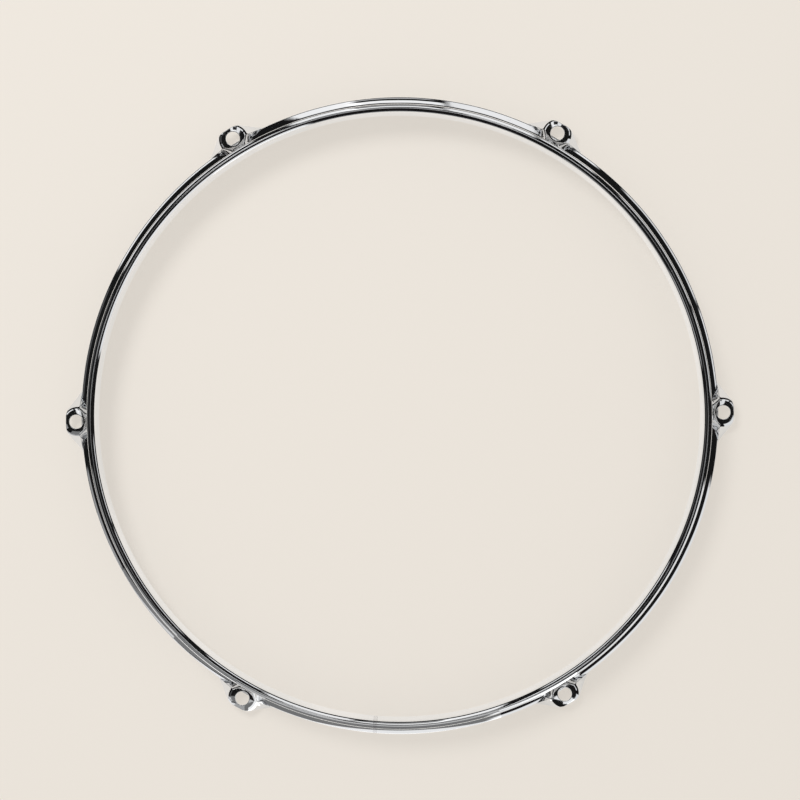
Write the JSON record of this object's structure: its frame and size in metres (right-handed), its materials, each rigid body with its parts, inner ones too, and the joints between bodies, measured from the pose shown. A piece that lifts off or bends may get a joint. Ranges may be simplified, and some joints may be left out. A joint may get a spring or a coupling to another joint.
{
  "type": "drum hoop",
  "caption": "Triple flanged steel drum hoop with raised tension ears, chromed. It clamps a drumhead's flesh hoop to a 14 inch drum and its lip takes rim shots.",
  "frame": {"origin": "on the hoop's axis, in the plane that the rim of the base flange rests on", "axes": "+Z along the hoop's axis towards the playing lip; +X through the middle of tension_ear_1"},
  "size_m": [0.3974, 0.3812, 0.025],
  "materials": {
    "strip_chrome": "polished chrome plate on rolled steel, with fine rolling lines and handling scuffs",
    "weld_chrome": "chrome plate over a dressed weld, slightly duller than the strip",
    "ear_chrome": "polished chrome plate on pressed steel, rod-washer scuffs on the seat"
  },
  "bodies": {
    "root": {"hoop_strip": "strip_chrome", "butt_weld": "weld_chrome", "tension_ear_1": "ear_chrome", "tension_ear_2": "ear_chrome", "tension_ear_3": "ear_chrome", "tension_ear_4": "ear_chrome", "tension_ear_5": "ear_chrome", "tension_ear_6": "ear_chrome"}
  },
  "joints": []
}
